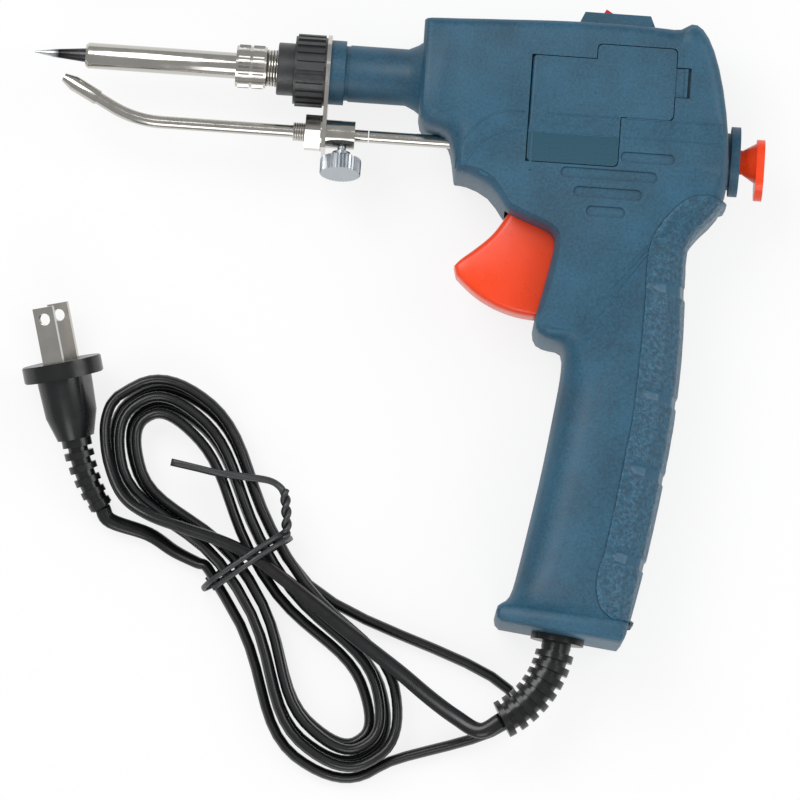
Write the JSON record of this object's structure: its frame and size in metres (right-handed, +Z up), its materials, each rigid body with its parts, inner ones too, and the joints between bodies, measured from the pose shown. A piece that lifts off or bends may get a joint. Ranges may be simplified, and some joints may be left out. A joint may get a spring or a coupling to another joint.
{
  "type": "solder feed soldering gun",
  "caption": "Pistol-grip soldering iron that feeds solder wire to its tip with a trigger, with its mains lead tied in a hank.",
  "frame": {"origin": "on the flat side of the right half of the housing, on the barrel axis, 50 mm behind the front face of the housing", "axes": "+Z up, the gun lies on its right side; +X along the barrel towards the back of the gun; +Y from the grip towards the top of the gun"},
  "size_m": [0.2203, 0.2357, 0.04],
  "materials": {
    "housing_blue": "moulded nylon, fine spark texture",
    "trigger_orange": "moulded acetal, satin",
    "switch_red": "moulded, glossy",
    "black_plastic": "moulded phenolic, satin",
    "black_rubber": "moulded PVC, satin",
    "nickel": "bright nickel plate",
    "steel": "turned and drawn steel",
    "zinc": "zinc plate, dull",
    "tip_iron": "iron plate, heat darkened",
    "ceramic": "fired alumina",
    "ivory_nylon": "natural nylon",
    "brass": "stamped, bright"
  },
  "bodies": {
    "gun": {"left_housing": "housing_blue", "right_housing": "housing_blue", "housing_screws": "zinc", "door_hinge_pin": "steel", "trigger_pin": "steel", "trigger_spring": "steel", "switch_body": "black_plastic", "solder_funnel": "trigger_orange", "inlet_guide": "steel", "rear_feed_tube": "nickel", "clamp_block": "nickel", "bracket_plate": "nickel", "hex_nut": "nickel", "heater_collar": "black_plastic", "threaded_neck": "nickel", "barrel_sleeve": "nickel", "soldering_tip": "tip_iron", "heater_core": "ceramic", "pressure_arm_pin": "steel", "pressure_spring": "steel", "terminal_block": "ivory_nylon", "cord_clamp": "zinc", "inner_lead": "black_rubber", "cord_guard": "black_rubber", "cord_lead": "black_rubber", "cord_hank": "black_rubber", "cord_tail": "black_rubber", "plug_body": "black_rubber", "plug_blades": "brass", "twist_tie": "black_plastic"},
    "door": {"feed_door": "housing_blue"},
    "trigger": {"trigger": "trigger_orange"},
    "rocker": {"switch_rocker": "switch_red"},
    "feed": {"feed_wheel": "steel", "drive_pinion": "ivory_nylon", "feed_shaft": "steel"},
    "arm": {"pressure_arm": "black_plastic", "pressure_wheel_pin": "steel"},
    "roller": {"pressure_wheel": "steel"},
    "clamp_screw": {"thumb_screw": "zinc"},
    "solder_tube": {"front_tube": "nickel", "tube_nozzle": "nickel"},
    "ring_nut": {"ribbed_nut": "black_plastic"},
    "tip_nut": {"knurled_nut": "nickel"}
  },
  "joints": [
    {"name": "trigger_pull", "type": "hinge", "parent": "gun", "child": "trigger", "pos_m": [-0.0104, -0.03579, 0.02], "axis": [0, 0, 1], "range_deg": [0, 18], "stiffness_Nm_per_rad": 0.6, "springref_deg": -17.19, "deforming": ["trigger_spring"]},
    {"name": "feed_spin", "type": "hinge", "parent": "gun", "child": "feed", "pos_m": [0.00477, -0.0261, 0.02], "axis": [0, 0, 1], "range_deg": [-43, 1]},
    {"name": "arm_lift", "type": "hinge", "parent": "gun", "child": "arm", "pos_m": [0.01971, -0.0128, 0.02], "axis": [0, 0, -1], "range_deg": [0, 12], "stiffness_Nm_per_rad": 0.05, "springref_deg": -22.92, "deforming": ["pressure_spring"]},
    {"name": "roller_spin", "type": "hinge", "parent": "arm", "child": "roller", "pos_m": [0.00477, -0.0141, 0.02], "axis": [0, 0, 1], "range_deg": [-1, 75]},
    {"name": "door_open", "type": "hinge", "parent": "gun", "child": "door", "pos_m": [-0.01592, -0.007, 0.03857], "axis": [0, -1, 0], "range_deg": [0, 92]},
    {"name": "switch_rock", "type": "hinge", "parent": "gun", "child": "rocker", "pos_m": [0.00744, 0.0208, 0.02], "axis": [0, 0, 1], "range_deg": [0, 18]},
    {"name": "tube_slide", "type": "slide", "parent": "gun", "child": "solder_tube", "axis": [-1, 0, 0], "range_m": [0, 0.006]},
    {"name": "clamp_turn", "type": "hinge", "parent": "gun", "child": "clamp_screw", "pos_m": [-0.07221, -0.0186, 0.02], "axis": [0, -0.9703, 0.2419], "continuous": true},
    {"name": "ring_nut_turn", "type": "hinge", "parent": "gun", "child": "ring_nut", "pos_m": [-0.083, 0, 0.02], "axis": [1, 0, 0], "continuous": true},
    {"name": "tip_nut_turn", "type": "hinge", "parent": "gun", "child": "tip_nut", "pos_m": [-0.101, 0, 0.02], "axis": [1, 0, 0], "continuous": true}
  ],
  "couplings": [
    {"joint": "feed_spin", "follows": "trigger_pull", "ratio": -2.3333},
    {"joint": "roller_spin", "follows": "trigger_pull", "ratio": 4.0833}
  ]
}
